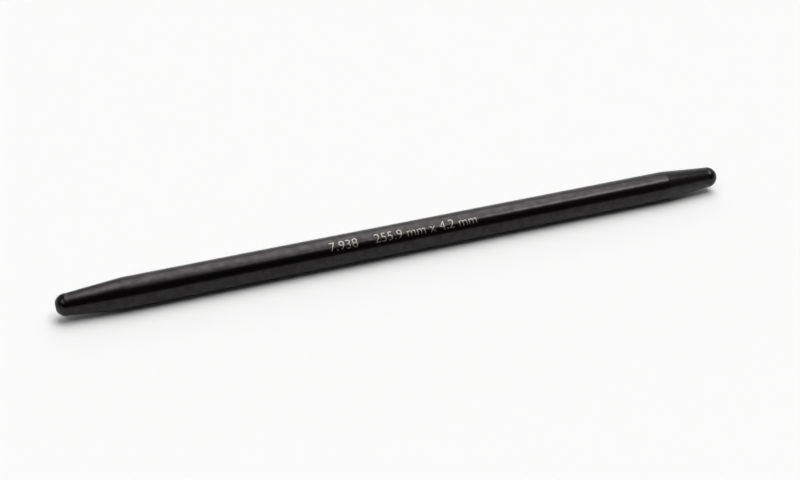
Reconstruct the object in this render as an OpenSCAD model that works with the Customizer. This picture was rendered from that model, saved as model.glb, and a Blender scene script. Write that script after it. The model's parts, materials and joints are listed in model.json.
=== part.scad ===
// Engine pushrod, made as one piece of black-finished steel tube.
// Both ends taper to a ball tip, and an oil passage runs straight through the rod.
// The rod lies along X with its axis on the X axis, and the origin is at mid-length.

/* [Tube] */
// Length of the rod, over the mouths of the oil passage
overall_length = 255.905; // [120:0.005:400]
// Outside diameter of the straight tube
tube_diameter = 11.1125; // [9.5:0.0125:14]
// Wall of the tube, from its outside to the oil passage
wall_thickness = 4.191; // [2.5:0.001:5.2]

/* [Tapered ends] */
// Length of each tapered end, from its tip to the full diameter
taper_length = 22.86; // [12:0.01:50]
// Radius that blends the taper into the straight tube
blend_radius = 2.5; // [0.5:0.25:4]

/* [Ball tips] */
// Diameter of each ball tip
ball_diameter = 7.9375; // [6:0.0125:9.5]
// Angle of the arc that the ball keeps, which sets how far the neck draws in
ball_wrap = 195; // [185:1:230]
// Radius of the hollow between the ball and the taper
neck_radius = 1.5; // [0.25:0.25:3]
// Chamfer at each mouth of the oil passage
mouth_chamfer = 0.3; // [0.1:0.05:0.8]

/* [Hidden] */
$fn = 180;

// Radii of the tube, the oil passage, its chamfered mouths and the balls
tube_r = tube_diameter / 2;
bore_r = tube_r - wall_thickness;
mouth_r = bore_r + mouth_chamfer;
ball_r = ball_diameter / 2;

// Half of the rod is drawn about the centre of its ball, with the radius along x and the tip
// towards +y: the tip, mid-length and the top of the taper lie this far from that centre
tip_rise = sqrt(pow(ball_r, 2) - pow(mouth_r, 2));
half_run = overall_length / 2 - tip_rise;
taper_run = taper_length - tip_rise;

// The neck, where the taper would meet the ball, lies this far round behind the ball's widest line
neck_angle = ball_wrap / 2 - 90;
neck = ball_r * [cos(neck_angle), -sin(neck_angle)];

// Slope of the taper against the axis
taper_angle = atan2(tube_r - neck.x, neck.y + taper_run);
taper_normal = [cos(taper_angle), sin(taper_angle)];

// The hollow is an arc that touches the ball and the taper from outside
hollow_angle = acos((ball_r * cos(neck_angle + taper_angle) + neck_radius) / (ball_r + neck_radius))
    - taper_angle;
hollow_centre = (ball_r + neck_radius) * [cos(hollow_angle), -sin(hollow_angle)];
hollow_foot = [0, hollow_centre.y - hollow_centre.x * tan(taper_angle)];

// The blend is an arc that touches the tube where it starts and the taper where it ends
blend_start = [tube_r, -taper_run - blend_radius * tan(taper_angle / 2)];
blend_centre = blend_start - [blend_radius, 0];
blend_end = blend_centre + blend_radius * taper_normal;

// An arc overruns what it touches by this much, so that it crosses it in one clean line
overrun = 0.0001;
// A cut runs this far past the surface that it opens
overcut = 1;

// Half of the straight tube and its taper, with sharp edges
module tube_profile() {
    polygon([[0, -half_run], [tube_r, -half_run], [tube_r, -taper_run], neck, [0, neck.y]]);
}

module ball_profile() {
    intersection() {
        circle(ball_r);
        translate([0, -ball_r]) square([ball_r, 2 * ball_r]);
    }
}

// Metal that fills the neck, before the hollow is cut
module neck_fill() {
    polygon([[0, 0], hollow_foot, hollow_centre]);
}

module hollow_cut() {
    translate(hollow_centre) circle(neck_radius + overrun);
}

// Corner that the blend takes off the top of the taper
module blend_cut() {
    difference() {
        polygon([blend_start, [tube_r + overcut, -taper_run], blend_end]);
        translate(blend_centre) circle(blend_radius + overrun);
    }
}

// Half of the oil passage, which opens at 45 degrees from its chamfer outwards
module passage_cut() {
    middle = -half_run - overcut;
    outside = ball_r + overcut;
    polygon([
        [0, middle], [bore_r, middle], [bore_r, tip_rise - mouth_chamfer],
        [mouth_r + outside - tip_rise, outside], [0, outside],
    ]);
}

module half_profile() {
    difference() {
        union() {
            tube_profile();
            ball_profile();
            neck_fill();
        }
        hollow_cut();
        blend_cut();
        passage_cut();
    }
}

module pushrod() {
    color("#242327") rotate([0, 90, 0]) rotate_extrude() {
        translate([0, half_run]) half_profile();
        mirror([0, 1]) translate([0, half_run]) half_profile();
    }
}

pushrod();
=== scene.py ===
# %% [markdown]
# # An engine pushrod
# A pushrod carries the lift of a camshaft up to a rocker arm. It is one piece of steel tube: the ground
# shank tapers at each end to a ball, and an oil passage runs through the rod from tip to tip. The steel is
# blacked all over, and a pale size marking is etched into its side.
# The CAD model is loaded first. It is the fixed frame: every size below is in metres in that frame.

# %% Load the frame
import json
import math

import bmesh
import bpy
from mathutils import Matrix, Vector


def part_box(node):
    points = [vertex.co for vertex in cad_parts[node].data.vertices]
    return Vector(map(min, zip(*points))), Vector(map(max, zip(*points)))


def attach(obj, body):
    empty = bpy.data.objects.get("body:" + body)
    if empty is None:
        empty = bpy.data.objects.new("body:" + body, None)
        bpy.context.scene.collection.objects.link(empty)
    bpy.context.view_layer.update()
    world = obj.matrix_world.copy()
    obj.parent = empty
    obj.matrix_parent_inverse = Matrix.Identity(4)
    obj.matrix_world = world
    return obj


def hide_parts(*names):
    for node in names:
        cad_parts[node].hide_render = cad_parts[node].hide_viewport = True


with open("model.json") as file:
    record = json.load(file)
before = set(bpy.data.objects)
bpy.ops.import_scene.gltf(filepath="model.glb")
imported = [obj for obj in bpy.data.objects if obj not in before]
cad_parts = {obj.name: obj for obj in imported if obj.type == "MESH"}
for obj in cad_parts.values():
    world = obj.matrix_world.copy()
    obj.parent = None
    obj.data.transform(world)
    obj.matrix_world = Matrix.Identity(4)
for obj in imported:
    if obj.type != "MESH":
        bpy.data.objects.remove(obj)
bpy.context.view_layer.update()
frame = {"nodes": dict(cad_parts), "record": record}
MM = 0.001
print("CAD nodes:", sorted(frame["nodes"]))

# %% [markdown]
# ## Sizes of the rod
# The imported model's mesh is coarse, so the rod is drawn again with a finer mesh and the same form. The
# sizes that the CAD record holds are read from it: the radii of the shank, the oil passage and the balls.
# The few that it doesn't hold are written down here. All could be typed in, but sizes that are read can't
# drift away from the frame.
# One half of the rod is drawn, from mid-length to the tip at +X. A point of its outline is a place along
# the rod, x, and a radius, z.

# %% Sizes from the frame
mounts = {mount["name"]: mount for mount in frame["record"]["mounts"]}
tube_r = mounts["shank"]["dims"]["r_mm"] * MM
bore_r = mounts["oil_passage"]["dims"]["r_mm"] * MM
ball_r = mounts["rocker_ball"]["dims"]["r_mm"] * MM
tip_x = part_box("pushrod")[1].x

TAPER_LENGTH = 22.86 * MM
BLEND_RADIUS = 2.5 * MM
NECK_RADIUS = 1.5 * MM
MOUTH_CHAMFER = 0.3 * MM
BALL_WRAP = math.radians(195)

mouth_r = bore_r + MOUTH_CHAMFER
ball_x = tip_x - math.sqrt(ball_r**2 - mouth_r**2)
taper_x = tip_x - TAPER_LENGTH
print(f"half length {tip_x / MM:.4f} mm, ball centre at {ball_x / MM:.4f} mm")
print(f"radii: tube {tube_r / MM:.5f} mm, passage {bore_r / MM:.5f} mm, ball {ball_r / MM:.5f} mm")

# %% [markdown]
# ## Where the lines and arcs meet
# The taper runs from the shank to the neck behind the ball. A small blend rounds its top, and a small
# hollow joins it to the ball. The meeting points could be nudged by eye, but worked out they are exact. An
# arc that touches a line starts or ends square to it, so the directions square to the taper and to the
# ball give every one of them.

# %% Meeting points of the outline
def outward(angle):
    """Direction square to the rod, leaning towards the tip by an angle."""
    return Vector((math.sin(angle), 0.0, math.cos(angle)))


ball_centre = Vector((ball_x, 0.0, 0.0))
neck = ball_centre + ball_r * outward(math.pi / 2 - BALL_WRAP / 2)
taper_angle = math.atan2(tube_r - neck.z, neck.x - taper_x)

lean = BALL_WRAP / 2 - math.pi / 2 + taper_angle
hollow_cosine = (ball_r * math.cos(lean) + NECK_RADIUS) / (ball_r + NECK_RADIUS)
hollow_angle = math.acos(hollow_cosine) - taper_angle
hollow_centre = ball_centre + (ball_r + NECK_RADIUS) * outward(-hollow_angle)
hollow_start = hollow_centre - NECK_RADIUS * outward(taper_angle)

blend_start = Vector((taper_x - BLEND_RADIUS * math.tan(taper_angle / 2), 0.0, tube_r))
blend_centre = blend_start - BLEND_RADIUS * outward(0)
mouth_angle = math.acos(mouth_r / ball_r)
print(f"taper {math.degrees(taper_angle):.2f} degrees, hollow starts at x {hollow_start.x / MM:.3f} mm")

# %% [markdown]
# ## Drawing the outline
# On a lathe the tool follows this outline while the bar turns. It could be typed in as a list of points,
# but a pen is easier to read: a plane merged into one vertex is the pen's point, extruding that vertex
# draws a line, and spinning it about a centre draws an arc. A line gets a support vertex near each end,
# which keeps the soft shading of an arc from leaking along the straight stretch beside it.

# %% A pen made of one vertex
def pen_point():
    """Place of the selected vertex, where the pen stands."""
    mesh = bmesh.from_edit_mesh(bpy.context.edit_object.data)
    return next(vertex.co.copy() for vertex in mesh.verts if vertex.select)


def start_pen(name, point):
    bpy.ops.object.select_all(action="DESELECT")
    bpy.ops.mesh.primitive_plane_add(size=MM, location=point)
    piece = bpy.context.active_object
    piece.name = name
    bpy.ops.object.transform_apply(location=True, rotation=True, scale=True)
    bpy.ops.object.mode_set(mode="EDIT")
    bpy.ops.mesh.select_all(action="SELECT")
    bpy.ops.mesh.merge(type="CENTER")
    return piece


def line_to(point, support=0.0):
    start = pen_point()
    along = (point - start).normalized() * support
    stops = [start + along, point - along, point] if support else [point]
    for stop in stops:
        step = stop - pen_point()
        bpy.ops.mesh.extrude_region_move(TRANSFORM_OT_translate={"value": step})


def arc_about(centre, angle, steps):
    """Turn the pen about a centre; a positive angle turns it towards the tip."""
    bpy.ops.mesh.spin(steps=steps, angle=-angle, center=centre, axis=(0, 1, 0))


# %% Half of the outline
SUPPORT = 0.4 * MM
BLEND_STEPS = 4
HOLLOW_STEPS = 6
BALL_STEPS = 28

pushrod = start_pen("pushrod_body", Vector((0.0, 0.0, tube_r)))
line_to(blend_start, SUPPORT)
arc_about(blend_centre, taper_angle, BLEND_STEPS)
line_to(hollow_start, SUPPORT)
arc_about(hollow_centre, -(taper_angle + hollow_angle), HOLLOW_STEPS)
arc_about(ball_centre, hollow_angle + mouth_angle, BALL_STEPS)
line_to(Vector((tip_x - MOUTH_CHAMFER, 0.0, bore_r)))
line_to(Vector((0.0, 0.0, bore_r)), SUPPORT)
bpy.ops.object.mode_set(mode="OBJECT")
print("outline vertices:", len(pushrod.data.vertices))

# %% [markdown]
# ## Turning the rod
# The rod's two ends are alike, so a Mirror modifier makes the other half of the outline and closes it.
# A Screw modifier could turn it, but a spin in edit mode leaves a plain mesh whose rims can be selected
# next. Spinning the closed outline once round the X axis turns the whole rod, bore and all. The spin ends
# where it started, so its doubled vertices are merged, and only then are the normals worked out.

# %% Mirror and spin
WELD = 0.002 * MM
TURN_STEPS = 192

mirror = pushrod.modifiers.new("other_end", "MIRROR")
mirror.use_axis = (True, False, False)
mirror.merge_threshold = WELD
bpy.ops.object.modifier_apply(modifier=mirror.name)

bpy.ops.object.mode_set(mode="EDIT")
bpy.ops.mesh.select_all(action="SELECT")
bpy.ops.mesh.spin(steps=TURN_STEPS, angle=math.tau, center=(0, 0, 0), axis=(1, 0, 0))
bpy.ops.mesh.select_all(action="SELECT")
bpy.ops.mesh.remove_doubles(threshold=WELD)
bpy.ops.mesh.normals_make_consistent(inside=False)
print("vertices of the turned rod:", len(bmesh.from_edit_mesh(pushrod.data).verts))

# %% [markdown]
# ## The mouths of the oil passage
# A drilled hole is broken with a countersink, and the tumbling before the black finish takes the last
# sharpness off its rim. A Bevel modifier would round the other edges too, so the rims are found by their
# place, at the very tips, and get a small bevel of their own. Each mouth then catches a fine line of light.

# %% Soften the rims
RIM_BEVEL = 0.06 * MM
RIM_SEGMENTS = 3
SMOOTH_ANGLE = math.radians(35)

mesh = bmesh.from_edit_mesh(pushrod.data)
bpy.ops.mesh.select_all(action="DESELECT")
for edge in mesh.edges:
    edge.select_set(all(abs(vertex.co.x) > tip_x - WELD for vertex in edge.verts))
bmesh.update_edit_mesh(pushrod.data)
rim_edges = sum(edge.select for edge in mesh.edges)
bpy.ops.mesh.bevel(offset=RIM_BEVEL, segments=RIM_SEGMENTS, affect="EDGES")
bpy.ops.object.mode_set(mode="OBJECT")
bpy.ops.object.shade_smooth_by_angle(angle=SMOOTH_ANGLE)
print("rim edges:", rim_edges, "faces:", len(pushrod.data.polygons))

# %% [markdown]
# ## The size marking
# Rods are sorted by size, so each has its size etched into the shank. Here it is plain numbers in
# millimetres: the ball's diameter, then the length and the wall. They could be painted by a pattern, but a
# mesh keeps their edges crisp from close by. Text is quick to type and turns into a mesh, but it is flat,
# its triangles are long and thin, and the shank is round. So the letters are stood upright, their
# triangles are evened out, and they are cut into thin level strips that can follow a curve. A Simple
# Deform modifier then rolls them to the radius of the shank.

# %% Type the numbers and make them a mesh
MARK_HEIGHT = 3.4 * MM
MARK_DEPTH = 0.012 * MM
MARK_THINNING = 0.006
MARK_CURVE_STEPS = 6


def etched_text(name, words, left_x):
    bpy.ops.object.select_all(action="DESELECT")
    bpy.ops.object.text_add(rotation=(math.pi / 2, 0, 0))
    text = bpy.context.active_object
    text.name = name
    text.data.body = words
    text.data.resolution_u = MARK_CURVE_STEPS
    text.data.offset = -MARK_THINNING
    bpy.context.view_layer.update()
    size = MARK_HEIGHT / text.dimensions.y
    text.data.extrude = MARK_DEPTH / size
    bpy.ops.object.convert(target="MESH")
    text.scale = (size, size, size)
    bpy.ops.object.transform_apply(location=False, rotation=True, scale=True)
    left = min(vertex.co.x for vertex in text.data.vertices)
    low = min(vertex.co.z for vertex in text.data.vertices)
    text.location = (left_x - left, 0, -low - MARK_HEIGHT / 2)
    bpy.ops.object.transform_apply(location=True, rotation=False, scale=False)
    return text


# %% Even out their triangles and cut them into strips
MARK_WELD = 0.008 * MM
STRIP = 0.2 * MM
FRONT_LIMIT = 0.5


def cut_in_strips(piece):
    bpy.ops.object.mode_set(mode="EDIT")
    bpy.ops.mesh.select_all(action="SELECT")
    bpy.ops.mesh.remove_doubles(threshold=MARK_WELD)
    mesh = bmesh.from_edit_mesh(piece.data)
    for face in mesh.faces:
        face.select_set(max(abs(face.normal.x), abs(face.normal.z)) < FRONT_LIMIT)
    bmesh.update_edit_mesh(piece.data)
    bpy.ops.mesh.beautify_fill(angle_limit=math.pi)
    for strip in range(round(MARK_HEIGHT / STRIP)):
        bpy.ops.mesh.select_all(action="SELECT")
        level = (strip + 0.5) * STRIP - MARK_HEIGHT / 2
        bpy.ops.mesh.bisect(plane_co=(0, 0, level), plane_no=(0, 0, 1))
    bpy.ops.mesh.select_all(action="SELECT")
    bpy.ops.mesh.normals_make_consistent(inside=False)
    bpy.ops.object.mode_set(mode="OBJECT")


# %% Roll them onto the shank
MARK_TILT = math.radians(49.8)


def roll_on_shank(piece):
    heights = [vertex.co.z for vertex in piece.data.vertices]
    bend = piece.modifiers.new("roll", "SIMPLE_DEFORM")
    bend.deform_method = "BEND"
    bend.deform_axis = "X"
    bend.angle = (max(heights) - min(heights)) / tube_r
    bpy.ops.object.modifier_apply(modifier=bend.name)
    piece.location = (0, -tube_r, 0)
    bpy.ops.object.transform_apply(location=True, rotation=False, scale=False)
    piece.rotation_euler = (-MARK_TILT, 0, 0)
    bpy.ops.object.transform_apply(location=False, rotation=True, scale=False)


# %% Both groups of numbers
MARKS = {"marking_ball": ("7.938", -32.0 * MM), "marking_tube": ("255.9 mm x 4.2 mm", -15.1 * MM)}

markings = []
for mark_name, (words, left_x) in MARKS.items():
    marking = etched_text(mark_name, words, left_x)
    cut_in_strips(marking)
    roll_on_shank(marking)
    markings.append(marking)
    reach = [vertex.co.x / MM for vertex in marking.data.vertices]
    radii = [math.hypot(vertex.co.y, vertex.co.z) / MM for vertex in marking.data.vertices]
    print(f"{mark_name}: x {min(reach):.1f} to {max(reach):.1f} mm")
    print(f"{mark_name}: radius {min(radii):.4f} to {max(radii):.4f} mm")

# %% [markdown]
# ## The black finish
# Black oxide is a skin a few thousandths of a millimetre thick, so the ground steel still shows through:
# satin gloss, hair-fine grinding lines round the shank, and a cast that drifts between brown and violet.
# One flat black would look like plastic. Such parts are dipped in oil at the end, and the film that stays
# is uneven, so the gleam is mottled: a coat whose weight follows the noise gives that. Shallow waves in
# the ground surface keep the long reflections from being quite straight. The patterns are worked out on
# Object coordinates, in metres, so they have their real scale.

# %% Small helpers for shader nodes
def new_material(name):
    material = bpy.data.materials.new(name)
    material.use_nodes = True
    tree = material.node_tree
    return material, tree, tree.nodes["Principled BSDF"]


def object_noise(tree, scale, stretch=(1, 1, 1), detail=3.0):
    """Noise on Object coordinates; stretch multiplies its frequency along each axis."""
    place = tree.nodes.new("ShaderNodeTexCoord")
    mapping = tree.nodes.new("ShaderNodeMapping")
    mapping.inputs["Scale"].default_value = stretch
    noise = tree.nodes.new("ShaderNodeTexNoise")
    noise.inputs["Scale"].default_value = scale
    noise.inputs["Detail"].default_value = detail
    tree.links.new(place.outputs["Object"], mapping.inputs["Vector"])
    tree.links.new(mapping.outputs["Vector"], noise.inputs["Vector"])
    return noise.outputs["Fac"]


def spread(tree, value, low, high, start=0.3, end=0.7):
    """Map a value that lies between start and end to the range from low to high."""
    ranged = tree.nodes.new("ShaderNodeMapRange")
    ranged.inputs["From Min"].default_value = start
    ranged.inputs["From Max"].default_value = end
    ranged.inputs["To Min"].default_value = low
    ranged.inputs["To Max"].default_value = high
    tree.links.new(value, ranged.inputs["Value"])
    return ranged.outputs["Result"]


def blend_colours(tree, factor, first, second):
    mix = tree.nodes.new("ShaderNodeMix")
    mix.data_type = "RGBA"
    mix.inputs["A"].default_value = (*first, 1)
    mix.inputs["B"].default_value = (*second, 1)
    tree.links.new(factor, mix.inputs["Factor"])
    return mix.outputs["Result"]


def bumped(tree, height, depth, normal=None):
    """Surface normal shaped by a height from 0 to 1, with a real depth."""
    bump = tree.nodes.new("ShaderNodeBump")
    bump.inputs["Distance"].default_value = depth
    tree.links.new(height, bump.inputs["Height"])
    if normal:
        tree.links.new(normal, bump.inputs["Normal"])
    return bump.outputs["Normal"]


# %% Mottled black oxide and its oil film
BROWN_BLACK = (0.0020, 0.0014, 0.0013)
VIOLET_BLACK = (0.0014, 0.0011, 0.0014)
WARM_GLEAM = (1.0, 0.92, 0.93, 1)
OXIDE_IOR = 1.315
MOTTLE_SCALE = 450
MOTTLE_DETAIL = 5
MOTTLE_START = 0.42
MOTTLE_END = 0.58
OIL_THIN = 0.04
OIL_THICK = 0.25
OIL_ROUGHNESS = 0.23

black_oxide, tree, surface = new_material("black_oxide")
patches = object_noise(tree, MOTTLE_SCALE, detail=MOTTLE_DETAIL)
mottle = spread(tree, patches, 0, 1, MOTTLE_START, MOTTLE_END)
tree.links.new(blend_colours(tree, mottle, BROWN_BLACK, VIOLET_BLACK), surface.inputs["Base Color"])
tree.links.new(spread(tree, mottle, OIL_THIN, OIL_THICK, 0, 1), surface.inputs["Coat Weight"])
surface.inputs["Coat Roughness"].default_value = OIL_ROUGHNESS
surface.inputs["Specular Tint"].default_value = WARM_GLEAM
surface.inputs["IOR"].default_value = OXIDE_IOR
pushrod.data.materials.append(black_oxide)
print("black oxide:", len(tree.nodes), "nodes for its colour and gleam")

# %% Grinding lines and shallow waves
GRIND_SCALE = 120
GRIND_STRETCH = (60, 1, 1)
GRIND_DETAIL = 2
GROUND_SMOOTH = 0.20
GROUND_ROUGH = 0.26
LINE_HEIGHT = 0.001 * MM
WAVE_SCALE = 250
WAVE_DETAIL = 1
WAVE_HEIGHT = 0.005 * MM

grinding = object_noise(tree, GRIND_SCALE, GRIND_STRETCH, GRIND_DETAIL)
tree.links.new(spread(tree, grinding, GROUND_SMOOTH, GROUND_ROUGH), surface.inputs["Roughness"])
wave = bumped(tree, object_noise(tree, WAVE_SCALE, detail=WAVE_DETAIL), WAVE_HEIGHT)
tree.links.new(bumped(tree, grinding, LINE_HEIGHT, wave), surface.inputs["Normal"])
print("black oxide:", len(tree.nodes), "nodes in all")

# %% [markdown]
# ## The etched numbers
# A laser takes the black skin off and leaves bare steel, dulled and slightly warm. A pale paint would be
# equally bright all over. Metal is bright where it mirrors the light overhead and dim where it turns away,
# so the foot of each number fades into the dark band of the shank. It is never quite even, so fine noise
# varies its tone and roughness.

# %% Etched steel
ETCH_LIGHT = (0.26, 0.246, 0.228)
ETCH_DARK = (0.17, 0.161, 0.150)
ETCH_SMOOTH = 0.36
ETCH_ROUGH = 0.46
SPECKLE_SCALE = 2500
SPECKLE_DETAIL = 2

etched_steel, tree, surface = new_material("etched_steel")
speckle = object_noise(tree, SPECKLE_SCALE, detail=SPECKLE_DETAIL)
etch_tone = blend_colours(tree, spread(tree, speckle, 0, 1), ETCH_DARK, ETCH_LIGHT)
tree.links.new(etch_tone, surface.inputs["Base Color"])
tree.links.new(spread(tree, speckle, ETCH_SMOOTH, ETCH_ROUGH), surface.inputs["Roughness"])
surface.inputs["Metallic"].default_value = 1.0
for marking in markings:
    marking.data.materials.append(etched_steel)
print("etched:", [marking.name for marking in markings])

# %% [markdown]
# ## Riding on the frame
# The finer rod takes the place of the CAD node, which stays in the frame for collision. The rod has no
# joints, so every piece rides on the one body.

# %% Join the pieces to the frame
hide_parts("pushrod")
for piece in [pushrod, *markings]:
    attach(piece, "root")
    print(piece.name, "rides on root")

# %% [markdown]
# ## Floor
# The rod lies on plain white board. A curved backdrop could hide the horizon, but the camera looks down,
# so a flat floor that is wide enough to fill every view will do. Its colour makes the pale background.

# %% A plain pale floor
FLOOR_SIZE = 60.0
BOARD_WHITE = (0.835, 0.835, 0.832, 1)
BOARD_ROUGHNESS = 0.9
BOARD_GLOSS = 0.1

bpy.ops.object.select_all(action="DESELECT")
bpy.ops.mesh.primitive_plane_add(size=FLOOR_SIZE, location=(0, 0, -tube_r))
floor = bpy.context.active_object
floor.name = "floor"
white_board, tree, surface = new_material("white_board")
surface.inputs["Base Color"].default_value = BOARD_WHITE
surface.inputs["Roughness"].default_value = BOARD_ROUGHNESS
surface.inputs["Specular IOR Level"].default_value = BOARD_GLOSS
floor.data.materials.append(white_board)
print(f"floor at z {-tube_r / MM:.3f} mm")

# %% [markdown]
# ## Light
# Dark gloss shows little but what it mirrors, so the light is painted on the world as the rod would see a
# studio: a soft panel overhead, a smaller lamp in front on the left, pale walls behind and at the sides,
# and a dim room on the camera's side, which makes the black band along the shank. Lamps could do the same,
# but here each edge of the light can be as soft as its reflection on the rod.

# %% Small helpers for the light
world = bpy.data.worlds.new("studio")
world.use_nodes = True
bpy.context.scene.world = world
tree = world.node_tree


def compute(operation, *values):
    node = tree.nodes.new("ShaderNodeMath")
    node.operation = operation
    for socket, value in zip(node.inputs, values):
        if isinstance(value, (int, float)):
            socket.default_value = value
        else:
            tree.links.new(value, socket)
    return node.outputs["Value"]


def product(first, *others):
    for other in others:
        first = compute("MULTIPLY", first, other)
    return first


def fade(value, start, end):
    """0 at start and 1 at end, with a soft step between; start may lie after end."""
    ranged = tree.nodes.new("ShaderNodeMapRange")
    ranged.interpolation_type = "SMOOTHSTEP"
    ranged.inputs["From Min"].default_value = start
    ranged.inputs["From Max"].default_value = end
    tree.links.new(value, ranged.inputs["Value"])
    return ranged.outputs["Result"]


# %% [markdown]
# ### Places on the panel
# The panel hangs level over the rod. A direction meets it at its slope along the rod and across it, so
# these slopes are places on the panel. The arch is another measure, for the walls: the angle from the
# camera's horizon up over the rod to the far horizon.

# %% Directions in the studio
LOWEST = 0.05

direction = tree.nodes.new("ShaderNodeTexCoord")
axes = tree.nodes.new("ShaderNodeSeparateXYZ")
tree.links.new(direction.outputs["Generated"], axes.inputs["Vector"])
along, across, up = axes.outputs
arch = compute("DEGREES", compute("ARCTAN2", up, compute("MULTIPLY", across, -1.0)))
overhead = compute("MAXIMUM", up, LOWEST)
panel_x = compute("DIVIDE", along, overhead)
panel_y = compute("DIVIDE", across, overhead)
print("directions:", len(tree.nodes), "nodes")

# %% [markdown]
# ### The panel
# A soft box over a table rarely hangs quite straight, and its cloth is never lit evenly. So the near edge
# is soft and runs askew to the rod, the other edges fade out, and the panel is brighter at its left end
# and in a strip along its near right corner. Each edge is a pair of places: where its fade starts and ends.

# %% The soft panel overhead
PANEL_LEVEL = 4.65
NEAR_EDGE_ANGLE = math.radians(69)
NEAR_EDGE = (-0.55, 0.285)
CORNER_ANGLE = math.radians(135)
NEAR_RIGHT_CORNER = (-0.80, -0.62)
FAR_LEFT_CORNER = (1.45, 0.09)
LEFT_EDGE = (-0.12, -0.07)
RIGHT_EDGE = (0.74, 0.46)
FAR_EDGE = (1.72, -0.05)


def towards(angle):
    """Place on the panel measured towards an angle, which starts at the rod's +X."""
    return compute("MULTIPLY_ADD", panel_x, math.cos(angle), product(panel_y, math.sin(angle)))


far_left = towards(CORNER_ANGLE)
panel = product(
    fade(towards(NEAR_EDGE_ANGLE), *NEAR_EDGE),
    fade(far_left, *NEAR_RIGHT_CORNER),
    fade(far_left, *FAR_LEFT_CORNER),
    fade(panel_x, *LEFT_EDGE),
    fade(panel_x, *RIGHT_EDGE),
    fade(panel_y, *FAR_EDGE),
)
print("panel:", len(tree.nodes), "nodes so far")

# %% Its brighter strip and left end
STRIP_GAIN = 3.8
STRIP_EDGE = (-0.44, -0.53)
LEFT_GAIN = 0.8
LEFT_END_EDGE = (0.08, -0.03)
LEFT_END_FAR_EDGE = (0.45, 0.20)

strip = fade(far_left, *STRIP_EDGE)
left_end = product(fade(panel_x, *LEFT_END_EDGE), fade(panel_y, *LEFT_END_FAR_EDGE))
panel = product(
    panel,
    compute("MULTIPLY_ADD", strip, STRIP_GAIN, 1.0),
    compute("MULTIPLY_ADD", left_end, LEFT_GAIN, 1.0),
)
print("panel with its strip and left end:", len(tree.nodes), "nodes so far")

# %% [markdown]
# ### The smaller lamp
# One panel leaves a heavy shadow in front of the rod, and little for the rod to mirror when it is seen
# from the right. A dimmer lamp in front on the left fills that shadow. Seen from the camera, only the left
# ball mirrors it, so the dark band along the shank stays dark.

# %% A smaller lamp on the left
LAMP_LEVEL = 1.7
LAMP_LEFT_EDGE = (-1.35, -1.00)
LAMP_RIGHT_EDGE = (-0.28, -0.42)
LAMP_NEAR_EDGE = (-0.85, -0.60)
LAMP_FAR_EDGE = (0.30, 0.05)

lamp = product(
    fade(panel_x, *LAMP_LEFT_EDGE),
    fade(panel_x, *LAMP_RIGHT_EDGE),
    fade(panel_y, *LAMP_NEAR_EDGE),
    fade(panel_y, *LAMP_FAR_EDGE),
)
lights = compute("ADD", product(panel, PANEL_LEVEL), product(lamp, LAMP_LEVEL))
print("panel and lamp:", len(tree.nodes), "nodes so far")

# %% [markdown]
# ### The walls and the room
# At a flat angle even black gloss mirrors strongly, so pale walls draw the rod's edges. They are dimmer
# towards the left, where the rod's edge is darker, and the room on the camera's side is nearly dark.

# %% Pale walls and the dim room
WALL_LEVEL = 0.90
WALL_ARCH = (85.0, 155.0)
WALL_LEFT = (-0.10, 0.15)
WALL_LEFT_SHARE = 0.35
SIDE_LEVEL = 0.40
SIDE_START = (0.46, 0.60)
SIDE_ARCH = (20.0, 100.0)
SIDE_FOOT_SHARE = 0.2
HORIZON_HEIGHT = (0.22, 0.12)
HORIZON_SIDE = (-0.9, -0.6)
ROOM_LEVEL = 0.012


def rising(value, share):
    """A share of the light where value is 0, and all of it where value is 1."""
    return compute("MULTIPLY_ADD", value, 1 - share, share)


back_wall = product(fade(arch, *WALL_ARCH), rising(fade(along, *WALL_LEFT), WALL_LEFT_SHARE))
side_wall = product(fade(along, *SIDE_START), rising(fade(arch, *SIDE_ARCH), SIDE_FOOT_SHARE))
horizon = product(fade(up, *HORIZON_HEIGHT), fade(across, *HORIZON_SIDE))
walls = compute("MAXIMUM", product(back_wall, WALL_LEVEL), product(side_wall, SIDE_LEVEL))
walls = compute("MAXIMUM", walls, product(horizon, WALL_LEVEL))
level = compute("ADD", compute("ADD", lights, walls), ROOM_LEVEL)
background = tree.nodes["Background"]
background.inputs["Color"].default_value = (1, 1, 1, 1)
tree.links.new(level, background.inputs["Strength"])
print("studio light:", len(tree.nodes), "nodes in all")

# %% [markdown]
# ## Camera
# The camera looks down on the rod from the side of its nearer end, as the photograph does. It could be
# moved until the view looks right, but its angles and distance were fitted to the rod's outline, so they
# are written down. It is aimed at a point a little beside the rod's middle, which puts the rod where the
# photograph has it.

# %% Place the camera
CAMERA_AZIMUTH = math.radians(-21.013)
CAMERA_ELEVATION = math.radians(31.236)
CAMERA_DISTANCE = 509.66 * MM
CAMERA_LENS = 63.0
CAMERA_CLIP = 10 * MM
MIDDLE_RIGHT = 3.72 * MM
MIDDLE_UP = 1.39 * MM

backward = Vector((
    math.sin(CAMERA_AZIMUTH) * math.cos(CAMERA_ELEVATION),
    -math.cos(CAMERA_AZIMUTH) * math.cos(CAMERA_ELEVATION),
    math.sin(CAMERA_ELEVATION),
))
rightward = Vector((0, 0, 1)).cross(backward).normalized()
upward = backward.cross(rightward)
aim = -MIDDLE_RIGHT * rightward - MIDDLE_UP * upward
bpy.ops.object.camera_add(location=aim + CAMERA_DISTANCE * backward)
camera = bpy.context.active_object
camera.rotation_euler = backward.to_track_quat("Z", "Y").to_euler()
camera.data.lens = CAMERA_LENS
camera.data.clip_start = CAMERA_CLIP
bpy.context.scene.camera = camera
bpy.context.scene.view_settings.view_transform = "Standard"
print("camera at", [round(value / MM, 1) for value in camera.location], "mm")
